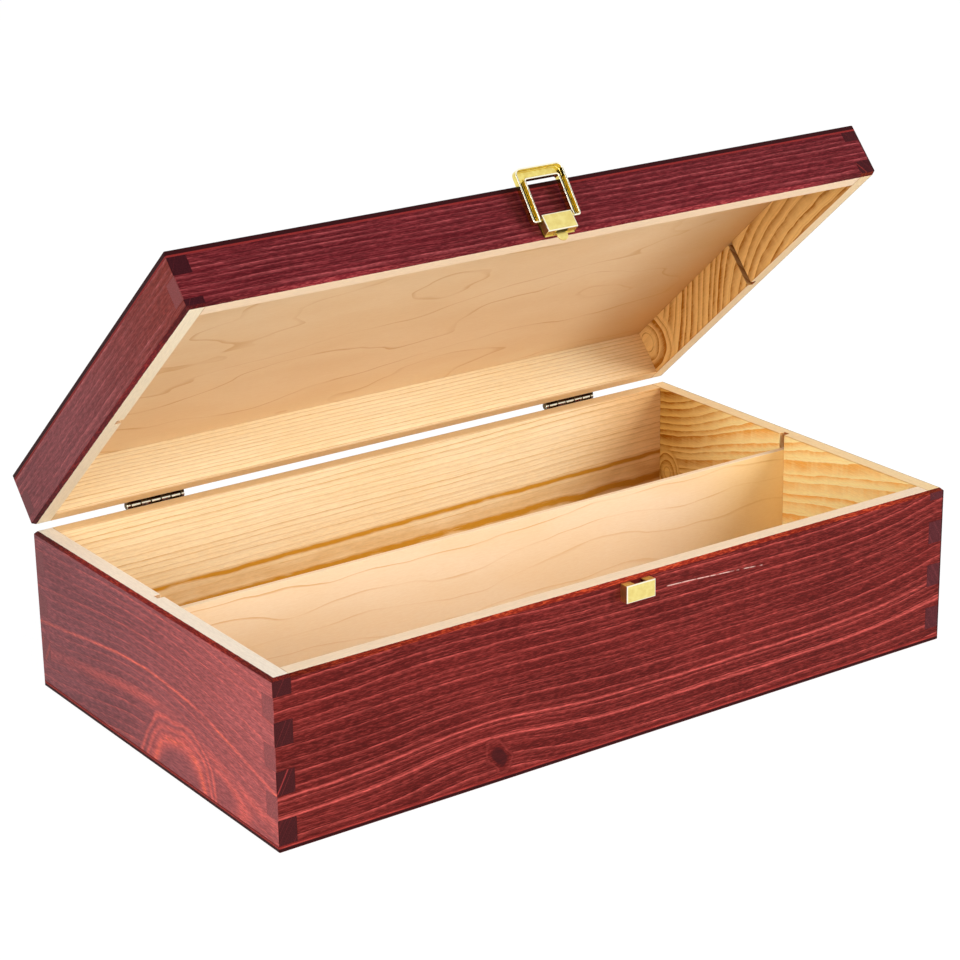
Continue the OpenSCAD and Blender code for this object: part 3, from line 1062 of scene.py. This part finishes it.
    def plywood(self, panel: Panel, body: str) -> bpy.types.Material:
        """Birch plywood: sliced veneer on its faces, layers at its edges.

        Args:
            panel: the sheet.
            body: the body it rides on.

        Returns:
            The material.
        """
        material, r, shader = self._start(f"{panel.node} plywood")
        x, y, z = self.place.read(r, body)
        across, through = (z, y) if panel.upright else (y, z)
        field = r.cloud(r.join(x / (panel.spread * 2.4), across / panel.spread, 0.0), panel.seed, 3.0, 0.36)
        turn = field * panel.turns + across / panel.rise
        phase = r.calc("FRACT", turn)
        luck = r.chance(r.calc("FLOOR", turn) + panel.seed)
        thin = phase.rise(0.9, 0.985) * phase.fall(0.985, 1.0)
        drift = r.cloud(r.join(x / 30, across / 18, 0.0), panel.seed + 3.0, 1.0)
        line = thin * drift.rise(0.35, 0.6, 0.25, 1.0) * (luck * 0.6 + 0.4)
        fibre = r.use(self.effects.fibre, panel, along=x, height=across, depth=through)
        streak, fleck, patch = fibre["Streak"], fibre["Fleck"], fibre["Patch"]
        layer = through - panel.low
        veneer = r.calc("PINGPONG", layer, 1.5)
        if panel.upright:
            edge, middle = z.rise(BOX.divider_top, BOX.divider_top + 0.08), veneer.rise(0.9, 1.0)
        else:
            side = (abs(x) - BOX.half_width).most(abs(y) - BOX.half_depth)
            edge, middle = side.rise(-0.55, -0.45), veneer.rise(0.42, 0.5)
        stain = panel.stain
        seam = abs(layer - panel.seam[0]).fall(panel.seam[1] - 0.25, panel.seam[1])
        ridge = abs(layer - panel.ridge).fall(0.1, 0.4)
        stained = r.coats(
            stain.deep,
            (streak * 0.5 + patch * 0.4, stain.body),
            (line * 0.5, stain.line),
            (fleck * 0.2, stain.deep),
        )
        rim = r.coats(
            stain.body,
            (fleck * 0.4, stain.chamfer),
            (ridge * streak * 0.7, stain.line),
            (seam * 0.9, stain.end),
        )
        stained = r.blend(edge, stained, rim)
        wood = r.coats(
            panel.pale,
            (patch * 0.6 + phase * 0.12 + streak * 0.28, panel.warm),
            # painted shade: warmer, darker colour towards the right end
            (x.rise(panel.shade_and_heartwood_from, panel.shade_and_heartwood_to) * 0.7, panel.shade_and_heartwood),
            (line * 0.75, panel.line),
            (fleck * 0.08, panel.line),
            (edge, r.blend(middle * 0.5, panel.edge, panel.warm)),
        )
        outside = r.use(self.effects.reach, x=x, y=y, z=z, ragged=self.panel_stray)["Outside"]
        r.feed(shader.inputs["Base Color"], r.blend(outside, wood, stained))
        r.feed(shader.inputs["Roughness"], (streak - 0.5) * 0.1 + 0.55)
        shader.inputs["Specular IOR Level"].default_value = self.wood_shine
        self._relief(r, shader, streak * 0.6 + fleck * 0.4, self.panel_relief)
        return material

    def _rubbed(self, r: Recipe, brass: Brass, x: Amount, y: Amount, z: Amount) -> Amount | None:
        """Where brass carries painted light: a painted shadow or painted highlights.

        Args:
            r: the recipe.
            brass: the finish.
            x: place along the front.
            y: place front to back.
            z: height in the closed box.

        Returns:
            1 where the painted light lies, or None for a part that has none.
        """
        # painted shadow on the lip of the tongue
        if brass.lip:
            return (abs(x - BOX.clasp_x) - brass.lip).rise(0.0, 0.15)
        # painted highlights along the folds of the sheet
        if brass.sheet:
            sheet = brass.sheet
            out = abs(y - sheet.front)
            side = abs(abs(x - BOX.clasp_x) - sheet.half_width).most(out)
            level = abs(abs(z - sheet.z) - sheet.half_height).most(out)
            return side.least(level).fall(0.3, 0.6)
        # painted highlight along the frame's rim
        if brass.rim:
            return (y - brass.rim).rise(-0.5, -0.25)
        # painted highlight along the front of the barrel, kept off the gaps between knuckles
        if brass.knuckles:
            middle, pitch = brass.knuckles
            back, up = y - self.place.axis.y / MM, z - self.place.axis.z / MM
            away = r.calc("SQRT", back ** 2.0 + up ** 2.0)
            barrel = away.rise(1.2, 1.4) * away.fall(1.9, 2.1)
            gap = r.calc("PINGPONG", x - (middle + pitch / 2), pitch / 2)
            return barrel * abs(up).fall(0.45, 0.95) * gap.rise(0.2, 0.5) * back.rise(0.2, -0.2)
        return None

    def metal(self, brass: Brass) -> bpy.types.Material:
        """Brass with soft clouds, fine scratches and painted light.

        Args:
            brass: the finish.

        Returns:
            The material.
        """
        material, r, shader = self._start(brass.name)
        x, y, z = self.place.read(r, brass.body)
        wear = r.use(self.effects.wear, x=x, y=y, z=z, size=self.cloud_size, seed=brass.rough * 10)
        colour = r.blend(wear["Cloud"] * 0.7, brass.bright, brass.dull)
        # painted highlights, or a painted shadow on a lip
        rubbed = self._rubbed(r, brass, x, y, z)
        if rubbed is not None:
            colour = r.blend(rubbed, colour, brass.rubbed)
        r.feed(shader.inputs["Base Color"], colour)
        rough = (wear["Cloud"] * 0.7 + wear["Scratch"] * 0.3 - 0.5) * brass.rough_spread + brass.rough
        r.feed(shader.inputs["Roughness"], rough)
        shader.inputs["Metallic"].default_value = 1.0
        if brass.bump:
            self._relief(r, shader, wear["Grit"] * 0.6 + wear["Scratch"] * 0.4, brass.bump)
        return material


# ---------------------------------------------------------------- workbench


def take(piece: bpy.types.Object) -> None:
    """Puts one piece alone on the bench, selected and active."""
    bpy.ops.object.select_all(action="DESELECT")
    piece.select_set(True)
    bpy.context.view_layer.objects.active = piece


def copy_node(node: bpy.types.Object, name: str) -> bpy.types.Object:
    """Copies a CAD node's mesh into a new piece and merges its loose triangles into flat faces.

    Args:
        node: the CAD node.
        name: name of the piece.

    Returns:
        The piece.
    """
    mesh = node.data.copy()
    mesh.name = name
    mesh.materials.clear()
    piece = bpy.data.objects.new(name, mesh)
    bpy.context.scene.collection.objects.link(piece)
    take(piece)
    if mesh.has_custom_normals:
        bpy.ops.mesh.customdata_custom_splitnormals_clear()
    bpy.ops.object.mode_set(mode="EDIT")
    bpy.ops.mesh.select_all(action="SELECT")
    bpy.ops.mesh.remove_doubles(threshold=MERGED)
    bpy.ops.mesh.dissolve_limited(angle_limit=FLAT)
    bpy.ops.object.mode_set(mode="OBJECT")
    return piece


def ease_edges(
    piece: bpy.types.Object, width: float, share: Callable[[Vector, Vector], float], steps: int = 2
) -> None:
    """Rounds the sharp edges of a piece, each by its own share of the width.

    Args:
        piece: the piece.
        width: full width of the rounding, in millimetres.
        share: gives an edge's share from its two ends.
        steps: facets of the rounding.
    """
    mesh = piece.data
    weights = mesh.attributes.new("bevel_weight_edge", "FLOAT", "EDGE")
    faces: dict[tuple[int, int], list[Vector]] = {}
    for polygon in mesh.polygons:
        for key in polygon.edge_keys:
            faces.setdefault(key, []).append(polygon.normal)
    for edge in mesh.edges:
        sides = faces.get(tuple(sorted(edge.vertices)), [])
        sharp = len(sides) == 2 and sides[0].angle(sides[1], 0.0) > SHARP
        ends = [mesh.vertices[i].co for i in edge.vertices]
        weights.data[edge.index].value = share(*ends) if sharp else 0.0
    bevel = piece.modifiers.new("eased edges", "BEVEL")
    bevel.width = width * MM
    bevel.segments = steps
    bevel.limit_method = "WEIGHT"
    bevel.use_clamp_overlap = False
    bevel.harden_normals = False
    weighted = piece.modifiers.new("flat faces", "WEIGHTED_NORMAL")
    weighted.keep_sharp = True
    take(piece)
    bpy.ops.object.shade_smooth_by_angle(angle=SMOOTH)
    bpy.ops.object.modifier_apply(modifier=bevel.name)
    bpy.ops.object.modifier_apply(modifier=weighted.name)


def finish_piece(
    piece: bpy.types.Object, material: bpy.types.Material, body: str, slot: Slot, node: str
) -> None:
    """Dresses a piece and fastens it to its body in place of its CAD node.

    Args:
        piece: the piece.
        material: its material.
        body: the body it rides on.
        slot: its slot in the record; not used.
        node: the CAD node it stands for.
    """
    piece.data.materials.clear()
    piece.data.materials.append(material)
    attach(piece, body)
    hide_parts(node)
    triangles = sum(len(p.vertices) - 2 for p in piece.data.polygons)
    LOG.info("%s: %d triangles on %s", piece.name, triangles, body)


# ---------------------------------------------------------------- sub-assemblies


@dataclass
class Woodwork:
    """The boards and panels of the base and the lid, with the widths of their rounded edges."""

    nodes: dict[str, bpy.types.Object]
    finisher: Finisher
    place: Place
    corner: float = 0.5
    joint: float = 0.13
    rim: float = 0.25

    def _share(self, body: str) -> Callable[[Vector, Vector], float]:
        """How much each edge of a board is rounded.

        Args:
            body: the body that the board rides on.

        Returns:
            A function of an edge's two ends.
        """

        def share(a: Vector, b: Vector) -> float:
            """Full share at the box's corners, less at rims and least at joints.

            Args:
                a: one end of the edge.
                b: the other end.

            Returns:
                The edge's share.
            """
            ends = [self.place.closed(p, body) for p in (a, b)]
            at_side = all(abs(abs(p.x) - BOX.half_width) < NEAR for p in ends)
            at_face = all(abs(abs(p.y) - BOX.half_depth) < NEAR for p in ends)
            upright = abs(ends[0].z - ends[1].z) > 0.5
            if at_side and at_face and upright:
                return 1.0
            off_rim = [abs(p.z - BOX.shut) - BOX.half_gap for p in ends]
            under_chamfer = not upright and all(abs(off - BOX.chamfer) < 0.1 for off in off_rim)
            if (at_side or at_face) and under_chamfer or all(abs(off) < NEAR for off in off_rim):
                return self.rim / self.corner
            return self.joint / self.corner

        return share

    def make(self, part: Board | Panel) -> bpy.types.Object:
        """Builds and dresses one board or panel.

        Args:
            part: the board or panel.

        Returns:
            The finished piece.
        """
        body = "lid" if part.node.startswith("lid_") else "base"
        if isinstance(part, Board):
            wood, slot, material = "pine", Slot.PINE, self.finisher.pine(part, body)
        else:
            wood, slot, material = "plywood", part.slot, self.finisher.plywood(part, body)
        piece = copy_node(self.nodes[part.node], f"{part.node}_{wood}")
        ease_edges(piece, self.corner, self._share(body))
        finish_piece(piece, material, body, slot, part.node)
        return piece


@dataclass
class Metalwork:
    """The hinges and the clasp, with the width of a sheet's cut edges against that of its folds."""

    nodes: dict[str, bpy.types.Object]
    finisher: Finisher
    place: Place
    fold: float = 0.4
    cut: float = 0.14

    def make(self, part: Part, brass: Brass, material: bpy.types.Material) -> bpy.types.Object:
        """Builds and dresses one brass part, with rounder folds than cut edges if it is folded sheet.

        Args:
            part: the part.
            brass: its finish.
            material: its material.

        Returns:
            The finished piece.
        """

        def share(a: Vector, b: Vector) -> float:
            """Full share at the folds, less at cut edges, and the same all over on other parts.

            Args:
                a: one end of the edge.
                b: the other end.

            Returns:
                The edge's share.
            """
            if not brass.sheet:
                return 1.0
            ends = [self.place.closed(p, part.body) for p in (a, b)]
            folded = all(abs(p.y - brass.sheet.front) < NEAR for p in ends)
            return 1.0 if folded else self.cut / self.fold

        piece = copy_node(self.nodes[part.node], f"{part.node}_brass")
        ease_edges(piece, self.fold if brass.sheet else part.edge, share, 4 if brass.sheet else 2)
        finish_piece(piece, material, part.body, brass.slot, part.node)
        return piece


@dataclass(frozen=True)
class Lamp:
    """A soft lamp: place and size in metres, power in watts, and whether the brass mirrors it."""

    name: str
    at: tuple[float, float, float]
    size: tuple[float, float]
    power: float
    mirrored: bool


@dataclass
class Studio:
    """Floor, soft lights and camera, in metres."""

    eye: tuple[float, float, float] = (-0.65156, -0.92272, 0.49169)
    aim: tuple[float, float, float] = (0.0, 0.01132, 0.08369)
    roll: float = -0.923
    lens: float = 102.6
    sensor: float = 36.0
    clip: tuple[float, float] = (0.05, 50.0)
    room_light: tuple[float, float] = (0.2, 1.0)
    floor_size: float = 6.0
    floor_below: float = 0.0002
    floor_white: Colour = (0.8, 0.8, 0.8)
    floor_shadow: Colour = (0.12, 0.12, 0.12)
    floor_glow: float = 0.96
    card_size: float = 1.5
    card_at: tuple[float, float, float] = (-0.95, -0.85, 1.45)
    lamp_aim: tuple[float, float, float] = (0.0, 0.0, 0.1)
    lamps: tuple[Lamp, ...] = (
        Lamp("right lamp", (1.75, -1.35, 1.0), (0.6, 1.9), 62.0, False),
        Lamp("left lamp", (-1.45, -0.6, 0.5), (0.9, 0.9), 17.0, True),
        Lamp("front lamp", (-0.2, -1.9, 0.9), (1.2, 1.2), 7.0, True),
    )

    @staticmethod
    def _facing(at: Vector, ahead: Vector, front: str) -> Matrix:
        """Place of something at a point whose front faces a direction."""
        return Matrix.Translation(at) @ ahead.to_track_quat(front, "Y").to_matrix().to_4x4()

    @staticmethod
    def _direct(r: Recipe) -> Amount:
        """1 for what the camera sees straight, mirrored or through glass."""
        path = r.step("ShaderNodeLightPath").outputs
        kinds = ("Camera", "Glossy", "Transmission")
        straight, mirrored, through = (Amount(r, path[f"Is {kind} Ray"]) for kind in kinds)
        return straight.most(mirrored).most(through)

    @staticmethod
    def _plane(name: str, size: float, at: tuple[float, float, float]) -> bpy.types.Object:
        """Lays a flat square.

        Args:
            name: its name.
            size: length of a side.
            at: its middle.

        Returns:
            The square.
        """
        bpy.ops.object.select_all(action="DESELECT")
        bpy.ops.mesh.primitive_plane_add(size=size, location=at)
        plane = bpy.context.view_layer.objects.active
        plane.name = name
        return plane

    def make_camera(self) -> bpy.types.Object:
        """Sets up the camera.

        Returns:
            The camera.
        """
        data = bpy.data.cameras.new("camera")
        data.lens = self.lens
        data.sensor_width = self.sensor
        data.clip_start, data.clip_end = self.clip
        camera = bpy.data.objects.new("camera", data)
        bpy.context.scene.collection.objects.link(camera)
        forward = (Vector(self.aim) - Vector(self.eye)).normalized()
        roll = Matrix.Rotation(math.radians(self.roll), 4, "Z")
        camera.matrix_world = self._facing(Vector(self.eye), forward, "-Z") @ roll
        bpy.context.scene.camera = camera
        return camera

    def make_lamp(self, lamp: Lamp) -> bpy.types.Object:
        """Hangs one soft lamp, turned to the box.

        Args:
            lamp: the lamp.

        Returns:
            Its object.
        """
        data = bpy.data.lights.new(lamp.name, "AREA")
        data.shape = "RECTANGLE"
        data.size, data.size_y = lamp.size
        data.energy = lamp.power
        hung = bpy.data.objects.new(lamp.name, data)
        hung.visible_glossy = lamp.mirrored
        bpy.context.scene.collection.objects.link(hung)
        at = Vector(lamp.at)
        hung.matrix_world = self._facing(at, Vector(self.lamp_aim) - at, "-Z")
        return hung

    def make_floor(self) -> bpy.types.Object:
        """Lays a plain white floor that keeps a faint shadow.

        Returns:
            The floor.
        """
        floor = self._plane("floor", self.floor_size, (0.0, 0.0, -self.floor_below))
        material, r = new_material("white floor")
        matte = r.step("ShaderNodeBsdfDiffuse")
        r.feed(matte.inputs["Color"], self.floor_white)
        faint = r.step("ShaderNodeBsdfDiffuse")
        r.feed(faint.inputs["Color"], self.floor_shadow)
        glow = r.step("ShaderNodeEmission")
        r.feed(glow.inputs["Strength"], self.floor_glow)
        bright = r.step("ShaderNodeAddShader")
        mix = r.step("ShaderNodeMixShader")
        end = r.step("ShaderNodeOutputMaterial")
        for socket, value in (
            (bright.inputs[0], faint.outputs[0]),
            (bright.inputs[1], glow.outputs[0]),
            (mix.inputs[0], self._direct(r)),
            (mix.inputs[1], matte.outputs[0]),
            (mix.inputs[2], bright.outputs[0]),
            (end.inputs["Surface"], mix.outputs[0]),
        ):
            r.feed(socket, value)
        floor.data.materials.append(material)
        return floor

    def make_card(self) -> bpy.types.Object:
        """Hangs a dark card up at the left, which only the brass mirrors.

        Returns:
            The card.
        """
        card = self._plane("dark card", self.card_size, (0.0, 0.0, 0.0))
        at = Vector(self.card_at)
        card.matrix_world = self._facing(at, at, "Z")
        material = bpy.data.materials.new("black cloth")
        material.use_nodes = True
        shader = material.node_tree.nodes["Principled BSDF"]
        shader.inputs["Base Color"].default_value = (0.01, 0.01, 0.01, 1)
        shader.inputs["Specular IOR Level"].default_value = 0.0
        card.data.materials.append(material)
        card.visible_camera = card.visible_diffuse = card.visible_shadow = card.visible_transmission = False
        return card

    def make_world(self) -> bpy.types.World:
        """Makes the white surroundings.

        Returns:
            The world.
        """
        world = bpy.data.worlds.new("white room")
        world.use_nodes = True
        world.node_tree.nodes.clear()
        r = Recipe(world.node_tree)
        glow = r.step("ShaderNodeBackground")
        r.feed(glow.inputs["Color"], (1.0, 1.0, 1.0))
        r.feed(glow.inputs["Strength"], r.between(self._direct(r), *self.room_light))
        r.feed(r.step("ShaderNodeOutputWorld").inputs["Surface"], glow.outputs[0])
        bpy.context.scene.world = world
        return world

    def build(self) -> None:
        """Builds the whole studio."""
        bpy.context.scene.view_settings.view_transform = "Standard"
        self.make_world()
        self.make_floor()
        self.make_card()
        for lamp in self.lamps:
            self.make_lamp(lamp)
        self.make_camera()


# ---------------------------------------------------------------- the box

BOARDS = (
    Board(
        "base_front_board", Grain.ALONG_FRONT, shown=-100.0, spacing=5.4, seed=3.0,
        uneven=0.25, sharpness=13.0, fade=0.3,
        swells=(Swell(-77, 12, 38, 27, 6.4), Swell(-98, 66, 52, 34, 2.2), Swell(205, 60, 55, 60, 13.0)),
        bands=(Band(23.0, 0.9, 0.62), Band(14.5, 0.9, 0.6)),
        eyes=(
            Eye(-70.5, 11.8, reach=8.0, squeeze=1.25, spacing=2.6, clear=4.6, core=4.2, lean=0.45, ragged=0.9,
                strength=0.3, bands=(Band(6.8, 0.9, 0.12),)),
        ),
        scratch=Scratch(17.0, 64.9, 68.0, 62.0),
        stain=Stain(
            deep=seen(76, 18, 16), body=seen(108, 32, 29), line=seen(228, 100, 92), hot=seen(238, 118, 76),
            chamfer=seen(126, 34, 22), chamfer_fleck=seen(204, 80, 44), end=seen(142, 74, 74),
            end_line=seen(176, 92, 88),
        ),
        bare=BareWood(rim=seen(252, 231, 204)),
    ),
    Board(
        "base_back_board", Grain.ALONG_FRONT, shown=91.6, spacing=2.8, seed=8.0,
        waver=0.9, uneven=0.55, sharpness=15.0, fade=0.35, tilt=-0.0165,
        bands=(Band(37.0, 2.0, 0.9), Band(31.0, 8.5, 0.26), Band(25.4, 3.6, 0.9)),
        stain=Stain(end=seen(126, 72, 74), end_line=seen(166, 84, 78)),
        bare=BareWood(
            # painted shade towards the right end
            line=seen(204, 146, 46), shade_and_heartwood_from=90.0, shade_and_heartwood_to=185.0, rim=seen(241, 210, 160), bold=1.7
        ),
    ),
    Board(
        "base_left_board", Grain.ALONG_SIDE, shown=-175.0, spacing=4.3, seed=5.0,
        uneven=0.3, sharpness=6.5, fade=0.3, lean=-1.7,
        swells=(Swell(0, 30, 75, 45, 14.0), Swell(-115, 20, 50, 40, -8.0)),
        bands=(Band(29.5, 1.4, 0.85), Band(15.0, 3.8, 0.55)),
        eyes=(
            Eye(-50, 8, reach=12.5, squeeze=0.4, spacing=9.0, clear=9.0, bands=(Band(9.6, 3.0, 0.65),)),
            Eye(-22, -1, reach=31.0, squeeze=0.85, spacing=3.6, clear=17.0,
                bands=(Band(19.0, 5.4, 0.8), Band(24.0, 2.2, 0.7), Band(27.6, 1.8, 0.7))),
        ),
        # painted sheen: pale mauve body colours stand for the whitish gloss on the left side, with a brighter
        # front end
        stain=Stain(
            deep=seen(106, 57, 61), body=seen(140, 81, 85), line=seen(226, 104, 94), hot=seen(255, 124, 72),
            chamfer=seen(102, 20, 18), chamfer_fleck=seen(172, 56, 34), end=seen(66, 24, 26),
            end_line=seen(160, 56, 56), front_end_light=0.3, calm=0.45,
        ),
    ),
    Board(
        "base_right_board", Grain.ALONG_SIDE, shown=166.6, spacing=5.6, seed=12.0,
        uneven=0.6, sharpness=1.3, fade=0.2, tilt=0.2, waver=2.6,
        swells=(Swell(95, 80, 60, 35, -25.0),),
        eyes=(Eye(85.6, 30, reach=13.0, squeeze=1.2, spacing=3.5, clear=2.0),),
        stain=Stain(
            line=seen(166, 60, 54), hot=seen(186, 76, 58), end=seen(80, 34, 38), end_line=seen(104, 46, 50)
        ),
        bare=BareWood(
            pale=seen(255, 246, 190), warm=seen(255, 234, 166), line=seen(244, 180, 90),
            # darker heartwood tone with painted shade towards the back
            shade_and_heartwood=seen(206, 148, 36), shade_and_heartwood_line=seen(148, 84, 6), shade_and_heartwood_from=15.0, shade_and_heartwood_to=90.0,
            rim=seen(252, 224, 176), bold=1.7,
        ),
    ),
    Board(
        "lid_front_board", Grain.ALONG_FRONT, shown=-100.0, spacing=2.5, seed=15.0,
        waver=0.9, fade=0.75, sharpness=4.0,
        stain=Stain(
            deep=seen(68, 12, 18), body=seen(98, 26, 32), line=seen(176, 84, 86), chamfer=seen(104, 28, 34),
            chamfer_fleck=seen(158, 66, 66), end=seen(124, 62, 62), end_line=seen(150, 74, 70),
        ),
        bare=BareWood(rim=seen(255, 230, 198)),
    ),
    Board(
        "lid_back_board", Grain.ALONG_FRONT, shown=91.6, spacing=1.75, seed=18.0,
        waver=0.5, fade=0.3, sharpness=9.0,
        stain=Stain(end=seen(110, 60, 62), end_line=seen(150, 74, 70)),
        bare=BareWood(
            # painted shade towards the right end
            line=seen(200, 144, 58), shade_and_heartwood_from=120.0, shade_and_heartwood_to=185.0, rim=seen(241, 210, 160), bold=1.6
        ),
    ),
    Board(
        "lid_left_board", Grain.ALONG_SIDE, shown=-175.0, spacing=3.2, seed=21.0,
        waver=0.8, fade=0.8, sharpness=5.0, lean=-1.7,
        # painted sheen: pale mauve body colours stand for the gloss on the left side, which the darker red
        # front end lacks
        stain=Stain(
            deep=seen(104, 50, 54), body=seen(130, 68, 70), line=seen(176, 96, 96), chamfer=seen(82, 18, 24),
            chamfer_fleck=seen(140, 42, 38), end=seen(52, 14, 20), end_line=seen(110, 36, 40),
            front_end_light=0.95, front_end_light_colour=seen(112, 38, 28),
        ),
        bare=BareWood(rim=seen(255, 243, 214)),
    ),
    Board(
        "lid_right_board", Grain.ALONG_SIDE, shown=166.6, spacing=5.8, seed=24.0,
        uneven=0.6, sharpness=1.8, fade=0.2, waver=2.6,
        swells=(Swell(91.6, 85, 70, 400, -90.0),),
        eyes=(Eye(88.6, 89, reach=22.0, squeeze=1.0, spacing=4.8, clear=4.0),),
        stain=Stain(line=seen(166, 60, 54), hot=seen(186, 76, 58)),
        bare=BareWood(
            pale=seen(240, 198, 130), warm=seen(230, 184, 110), line=seen(160, 96, 24),
            # the groove colour is painted shade
            rim=seen(250, 226, 184), groove=seen(132, 72, 38), bold=1.7,
        ),
    ),
)

PANELS = (
    Panel(
        "base_bottom_panel", upright=False, low=0.0, seed=31.0, slot=Slot.PLYWOOD,
        stain=Stain(end=seen(26, 8, 10)), seam=(1.1, 0.75), ridge=2.2,
    ),
    Panel(
        "lid_top_panel", upright=False, low=96.0, seed=34.0, slot=Slot.PLYWOOD,
        stain=Stain(
            deep=seen(92, 24, 26), body=seen(118, 36, 38), line=seen(132, 44, 42), end=seen(22, 6, 10)
        ),
        seam=(2.1, 1.4), ridge=0.35,
    ),
    Panel(
        "divider", upright=True, low=-1.5, seed=37.0, slot=Slot.BIRCH,
        # the last colour is painted shade, a saturated amber towards the right end
        pale=seen(246, 222, 190), warm=seen(242, 213, 174), line=seen(216, 160, 84), shade_and_heartwood=seen(255, 214, 128),
        spread=30.0, turns=2.4, rise=11.0,
    ),
)

AGED = dict(bright=seen(104, 80, 48), dull=seen(58, 42, 24), rough=0.26, rough_spread=0.12, bump=0.008)
SATIN = dict(bright=seen(242, 224, 142), dull=seen(228, 204, 116), rough=0.32, rough_spread=0.06, bump=0.002)
SHINY = dict(bright=seen(244, 226, 132), dull=seen(214, 184, 88), rough=0.12, rough_spread=0.04, bump=0.0)
KNUCKLE = 5.04

HINGES = tuple(
    (
        # painted highlight along the front of the knuckles
        Brass(f"aged brass of {side} hinge", Slot.HINGE, "base", knuckles=(middle, KNUCKLE), **AGED),
        (
            Part(f"{side}_hinge_base_leaf", "base", 0.12),
            Part(f"{side}_hinge_lid_leaf", "lid", 0.12),
            Part(f"{side}_hinge_pin", "lid", 0.1),
        ),
    )
    for side, middle in (("left", -114.0), ("right", 117.0))
)
BRASSWORK = HINGES + (
    (
        Brass("aged brass of screws", Slot.HINGE, "base", **AGED),
        (Part("base_hinge_screws", "base", 0.06), Part("lid_hinge_screws", "lid", 0.06)),
    ),
    (
        # painted highlights along the folds
        Brass("satin brass of keeper", Slot.SHEET, "base", sheet=Sheet(-104.4, 68.0, 3.9), **SATIN),
        (Part("clasp_keeper", "base"),),
    ),
    (
        # painted highlights along the folds
        Brass("satin brass of housing", Slot.SHEET, "lid", sheet=Sheet(-104.6, 78.4, 3.95), **SATIN),
        (Part("clasp_housing", "lid"),),
    ),
    (
        # the dark colour is a painted shadow on the tongue's lip
        Brass("satin brass of tongue", Slot.SHEET, "lid", rubbed=seen(92, 64, 26), lip=7.4, **SATIN),
        (Part("clasp_tongue", "lid", 0.1),),
    ),
    (
        # painted highlight along the rim
        Brass("bright brass", Slot.FRAME, "clasp", rim=-100.9, **SHINY),
        (Part("clasp_frame", "clasp", 0.24), Part("clasp_pin", "clasp", 0.06)),
    ),
)


def main() -> None:
    """Builds the box's pieces in order."""
    logging.basicConfig(level=logging.INFO, format="%(name)s: %(message)s")
    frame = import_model()
    place = Place(frame["joints"])
    finisher = Finisher(Effects(), place)
    Studio().build()
    woodwork = Woodwork(frame["nodes"], finisher, place)
    for part in BOARDS + PANELS:
        woodwork.make(part)
    metalwork = Metalwork(frame["nodes"], finisher, place)
    for brass, parts in BRASSWORK:
        material = finisher.metal(brass)
        for part in parts:
            metalwork.make(part, brass, material)


if __name__ == "__main__":
    main()
